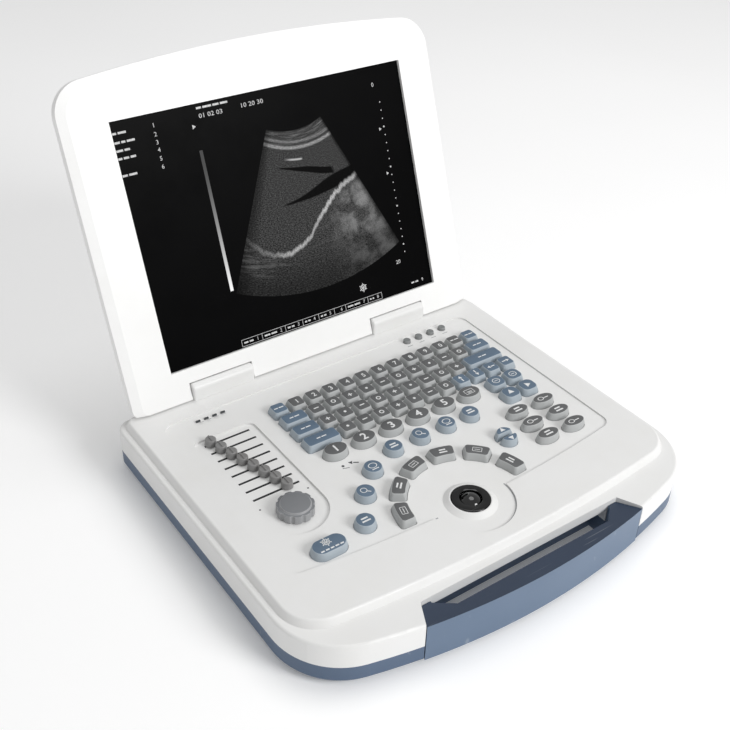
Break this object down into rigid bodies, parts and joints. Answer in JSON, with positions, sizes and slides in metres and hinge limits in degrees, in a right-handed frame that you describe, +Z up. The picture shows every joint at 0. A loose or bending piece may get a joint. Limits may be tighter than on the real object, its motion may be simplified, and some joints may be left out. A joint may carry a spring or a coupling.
{
  "type": "portable ultrasound scanner",
  "caption": "Laptop-style portable ultrasound scanner: white clamshell with a hinged screen lid, rubber keyboard, slide gain controls, gain knob, trackball and a front carry handle.",
  "frame": {"origin": "On the table, in the middle of the base's width, halfway between the front of the carry handle and the back of the open lid.", "axes": "+Z up; +X to the user's right along the keyboard; the user sits on the -Y side."},
  "size_m": [0.332, 0.3749, 0.2725],
  "materials": {
    "white_plastic": "fine moulded texture, satin",
    "white_plastic_lid": "fine moulded texture, satin",
    "blue_grey_plastic": "satin moulded",
    "blue_grey_handle": "satin moulded",
    "circuit_board": "solder mask with copper tracks",
    "battery_wrap": "shrink wrap",
    "steel_bracket": "stamped steel",
    "screw_steel": "zinc plated",
    "steel_roller": "ground",
    "black_moulding": "moulded",
    "gloss_black_ring": "gloss",
    "gloss_black_ball": "polished",
    "light_lens": "dark clear lens",
    "connector_shell": "moulded",
    "black_rubber": "matte",
    "display_panel": "metal backed module",
    "screen_glass": "gloss black, image lit from behind",
    "slider_grey": "satin",
    "knob_grey": "satin",
    "blue_key_rubber": "silicone, darker printed top on a lighter skirt",
    "button_grey": "silicone",
    "grey_key_rubber": "silicone, darker printed top on a lighter skirt"
  },
  "bodies": {
    "base": {"top_housing": "white_plastic", "bottom_housing": "blue_grey_plastic", "carry_handle": "blue_grey_handle", "main_board": "circuit_board", "power_board": "circuit_board", "keypad_board": "circuit_board", "battery_pack": "battery_wrap", "hinge_brackets": "steel_bracket", "hinge_pins": "screw_steel", "slide_switches": "black_moulding", "gain_encoder": "black_moulding", "trackball_cup": "black_moulding", "trackball_ring": "gloss_black_ring", "status_lights": "light_lens", "probe_socket_1": "connector_shell", "probe_socket_2": "connector_shell", "rear_ports": "connector_shell", "base_screws": "screw_steel", "rubber_feet": "black_rubber"},
    "lid": {"lid_bezel": "white_plastic_lid", "lid_rear_cover": "white_plastic_lid", "lcd_panel": "display_panel", "screen_window": "screen_glass", "lid_screws": "screw_steel", "hinge_arms": "steel_bracket"},
    "tgc_knob_1": {"tgc_knob_1": "slider_grey"},
    "tgc_knob_2": {"tgc_knob_2": "slider_grey"},
    "tgc_knob_3": {"tgc_knob_3": "slider_grey"},
    "tgc_knob_4": {"tgc_knob_4": "slider_grey"},
    "tgc_knob_5": {"tgc_knob_5": "slider_grey"},
    "tgc_knob_6": {"tgc_knob_6": "slider_grey"},
    "tgc_knob_7": {"tgc_knob_7": "slider_grey"},
    "tgc_knob_8": {"tgc_knob_8": "slider_grey"},
    "gain_knob": {"gain_knob": "knob_grey"},
    "trackball": {"trackball": "gloss_black_ball"},
    "trackball_roller": {"trackball_roller": "steel_roller"},
    "trackball_side_roller": {"trackball_side_roller": "steel_roller"},
    "freeze_key": {"freeze_key": "blue_key_rubber"},
    "mode_key_1": {"mode_key_1": "grey_key_rubber"},
    "mode_key_2": {"mode_key_2": "grey_key_rubber"},
    "mode_key_3": {"mode_key_3": "grey_key_rubber"},
    "mode_key_4": {"mode_key_4": "grey_key_rubber"},
    "mode_key_5": {"mode_key_5": "grey_key_rubber"},
    "mode_key_6": {"mode_key_6": "grey_key_rubber"},
    "arc_key_1": {"arc_key_1": "grey_key_rubber"},
    "arc_key_2": {"arc_key_2": "grey_key_rubber"},
    "arc_key_3": {"arc_key_3": "grey_key_rubber"},
    "arc_key_4": {"arc_key_4": "grey_key_rubber"},
    "arc_key_5": {"arc_key_5": "grey_key_rubber"},
    "arc_key_6": {"arc_key_6": "grey_key_rubber"},
    "up_key": {"up_key": "blue_key_rubber"},
    "down_key": {"down_key": "blue_key_rubber"},
    "key_row_1": {"key_row_1": "grey_key_rubber"},
    "key_row_2": {"key_row_2": "grey_key_rubber"},
    "key_row_3": {"key_row_3": "grey_key_rubber"},
    "key_row_4": {"key_row_4": "grey_key_rubber"},
    "round_keys": {"round_keys": "blue_key_rubber"},
    "step_keys": {"step_keys": "blue_key_rubber"},
    "oval_keys": {"oval_keys": "grey_key_rubber"},
    "top_buttons": {"top_buttons": "button_grey"}
  },
  "joints": [
    {"name": "lid_hinge", "type": "hinge", "parent": "base", "child": "lid", "pos_m": [0.0015, 0.0906, 0.0484], "axis": [1, 0, 0], "range_deg": [-15, 110]},
    {"name": "tgc_slide_1", "type": "slide", "parent": "base", "child": "tgc_knob_1", "axis": [1, 0, 0], "range_m": [-0.0015, 0.0281]},
    {"name": "tgc_slide_2", "type": "slide", "parent": "base", "child": "tgc_knob_2", "axis": [1, 0, 0], "range_m": [-0.0046, 0.025]},
    {"name": "tgc_slide_3", "type": "slide", "parent": "base", "child": "tgc_knob_3", "axis": [1, 0, 0], "range_m": [-0.0077, 0.0219]},
    {"name": "tgc_slide_4", "type": "slide", "parent": "base", "child": "tgc_knob_4", "axis": [1, 0, 0], "range_m": [-0.0108, 0.0188]},
    {"name": "tgc_slide_5", "type": "slide", "parent": "base", "child": "tgc_knob_5", "axis": [1, 0, 0], "range_m": [-0.0139, 0.0157]},
    {"name": "tgc_slide_6", "type": "slide", "parent": "base", "child": "tgc_knob_6", "axis": [1, 0, 0], "range_m": [-0.017, 0.0126]},
    {"name": "tgc_slide_7", "type": "slide", "parent": "base", "child": "tgc_knob_7", "axis": [1, 0, 0], "range_m": [-0.0201, 0.0095]},
    {"name": "tgc_slide_8", "type": "slide", "parent": "base", "child": "tgc_knob_8", "axis": [1, 0, 0], "range_m": [-0.0232, 0.0064]},
    {"name": "gain_turn", "type": "hinge", "parent": "base", "child": "gain_knob", "pos_m": [-0.106, -0.0544, 0.04], "axis": [0, 0, 1], "continuous": true},
    {"name": "trackball_roll", "type": "hinge", "parent": "base", "child": "trackball", "pos_m": [-0.0043, -0.1125, 0.0346], "axis": [1, 0, 0], "continuous": true},
    {"name": "roller_turn", "type": "hinge", "parent": "base", "child": "trackball_roller", "pos_m": [-0.0043, -0.10129, 0.0332], "axis": [1, 0, 0], "continuous": true},
    {"name": "side_roller_turn", "type": "hinge", "parent": "base", "child": "trackball_side_roller", "pos_m": [-0.01551, -0.1125, 0.0332], "axis": [0, 1, 0], "continuous": true},
    {"name": "freeze_key_press", "type": "slide", "parent": "base", "child": "freeze_key", "axis": [0, 0, -1], "range_m": [0, 0.0015], "stiffness_N_per_m": 300, "springref_m": -0.001},
    {"name": "mode_key_1_press", "type": "slide", "parent": "base", "child": "mode_key_1", "axis": [0, 0, -1], "range_m": [0, 0.0015], "stiffness_N_per_m": 300, "springref_m": -0.001},
    {"name": "mode_key_2_press", "type": "slide", "parent": "base", "child": "mode_key_2", "axis": [0, 0, -1], "range_m": [0, 0.0015], "stiffness_N_per_m": 300, "springref_m": -0.001},
    {"name": "mode_key_3_press", "type": "slide", "parent": "base", "child": "mode_key_3", "axis": [0, 0, -1], "range_m": [0, 0.0015], "stiffness_N_per_m": 300, "springref_m": -0.001},
    {"name": "mode_key_4_press", "type": "slide", "parent": "base", "child": "mode_key_4", "axis": [0, 0, -1], "range_m": [0, 0.0015], "stiffness_N_per_m": 300, "springref_m": -0.001},
    {"name": "mode_key_5_press", "type": "slide", "parent": "base", "child": "mode_key_5", "axis": [0, 0, -1], "range_m": [0, 0.0015], "stiffness_N_per_m": 300, "springref_m": -0.001},
    {"name": "mode_key_6_press", "type": "slide", "parent": "base", "child": "mode_key_6", "axis": [0, 0, -1], "range_m": [0, 0.0015], "stiffness_N_per_m": 300, "springref_m": -0.001},
    {"name": "arc_key_1_press", "type": "slide", "parent": "base", "child": "arc_key_1", "axis": [0, 0, -1], "range_m": [0, 0.0015], "stiffness_N_per_m": 300, "springref_m": -0.001},
    {"name": "arc_key_2_press", "type": "slide", "parent": "base", "child": "arc_key_2", "axis": [0, 0, -1], "range_m": [0, 0.0015], "stiffness_N_per_m": 300, "springref_m": -0.001},
    {"name": "arc_key_3_press", "type": "slide", "parent": "base", "child": "arc_key_3", "axis": [0, 0, -1], "range_m": [0, 0.0015], "stiffness_N_per_m": 300, "springref_m": -0.001},
    {"name": "arc_key_4_press", "type": "slide", "parent": "base", "child": "arc_key_4", "axis": [0, 0, -1], "range_m": [0, 0.0015], "stiffness_N_per_m": 300, "springref_m": -0.001},
    {"name": "arc_key_5_press", "type": "slide", "parent": "base", "child": "arc_key_5", "axis": [0, 0, -1], "range_m": [0, 0.0015], "stiffness_N_per_m": 300, "springref_m": -0.001},
    {"name": "arc_key_6_press", "type": "slide", "parent": "base", "child": "arc_key_6", "axis": [0, 0, -1], "range_m": [0, 0.0015], "stiffness_N_per_m": 300, "springref_m": -0.001},
    {"name": "up_key_press", "type": "slide", "parent": "base", "child": "up_key", "axis": [0, 0, -1], "range_m": [0, 0.0015], "stiffness_N_per_m": 300, "springref_m": -0.001},
    {"name": "down_key_press", "type": "slide", "parent": "base", "child": "down_key", "axis": [0, 0, -1], "range_m": [0, 0.0015], "stiffness_N_per_m": 300, "springref_m": -0.001},
    {"name": "key_row_1_press", "type": "slide", "parent": "base", "child": "key_row_1", "axis": [0, 0, -1], "range_m": [0, 0.0015], "stiffness_N_per_m": 300, "springref_m": -0.001},
    {"name": "key_row_2_press", "type": "slide", "parent": "base", "child": "key_row_2", "axis": [0, 0, -1], "range_m": [0, 0.0015], "stiffness_N_per_m": 300, "springref_m": -0.001},
    {"name": "key_row_3_press", "type": "slide", "parent": "base", "child": "key_row_3", "axis": [0, 0, -1], "range_m": [0, 0.0015], "stiffness_N_per_m": 300, "springref_m": -0.001},
    {"name": "key_row_4_press", "type": "slide", "parent": "base", "child": "key_row_4", "axis": [0, 0, -1], "range_m": [0, 0.0015], "stiffness_N_per_m": 300, "springref_m": -0.001},
    {"name": "round_keys_press", "type": "slide", "parent": "base", "child": "round_keys", "axis": [0, 0, -1], "range_m": [0, 0.0015], "stiffness_N_per_m": 300, "springref_m": -0.001},
    {"name": "step_keys_press", "type": "slide", "parent": "base", "child": "step_keys", "axis": [0, 0, -1], "range_m": [0, 0.0015], "stiffness_N_per_m": 300, "springref_m": -0.001},
    {"name": "oval_keys_press", "type": "slide", "parent": "base", "child": "oval_keys", "axis": [0, 0, -1], "range_m": [0, 0.0015], "stiffness_N_per_m": 300, "springref_m": -0.001},
    {"name": "top_buttons_press", "type": "slide", "parent": "base", "child": "top_buttons", "axis": [0, 0, -1], "range_m": [0, 0.0015], "stiffness_N_per_m": 300, "springref_m": -0.001}
  ],
  "couplings": [
    {"joint": "roller_turn", "follows": "trackball_roll", "ratio": -6.3333}
  ]
}
